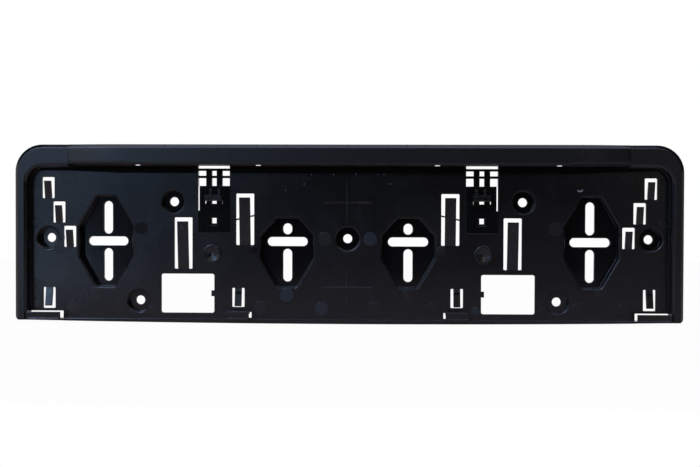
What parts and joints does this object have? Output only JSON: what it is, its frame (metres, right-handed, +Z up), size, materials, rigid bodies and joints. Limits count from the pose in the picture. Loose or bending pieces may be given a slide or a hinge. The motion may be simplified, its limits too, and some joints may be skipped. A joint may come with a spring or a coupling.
{
  "type": "number plate holder",
  "caption": "Wide shallow tray that holds a vehicle number plate: deep rim at the sides and top with a hood, screw wells, slotted octagon seats, spring tabs and an open bottom edge.",
  "frame": {"origin": "midway between the two outer screw holes, on the rear plane that rests against the vehicle", "axes": "+X across the holder to the right as seen from the front, +Y backwards into the vehicle, +Z up; the open front faces -Y"},
  "size_m": [0.54, 0.0305, 0.1456],
  "materials": {
    "holder": "black injection-moulded plastic with a fine satin grain"
  },
  "bodies": {
    "root": {"holder": "holder"}
  },
  "joints": []
}
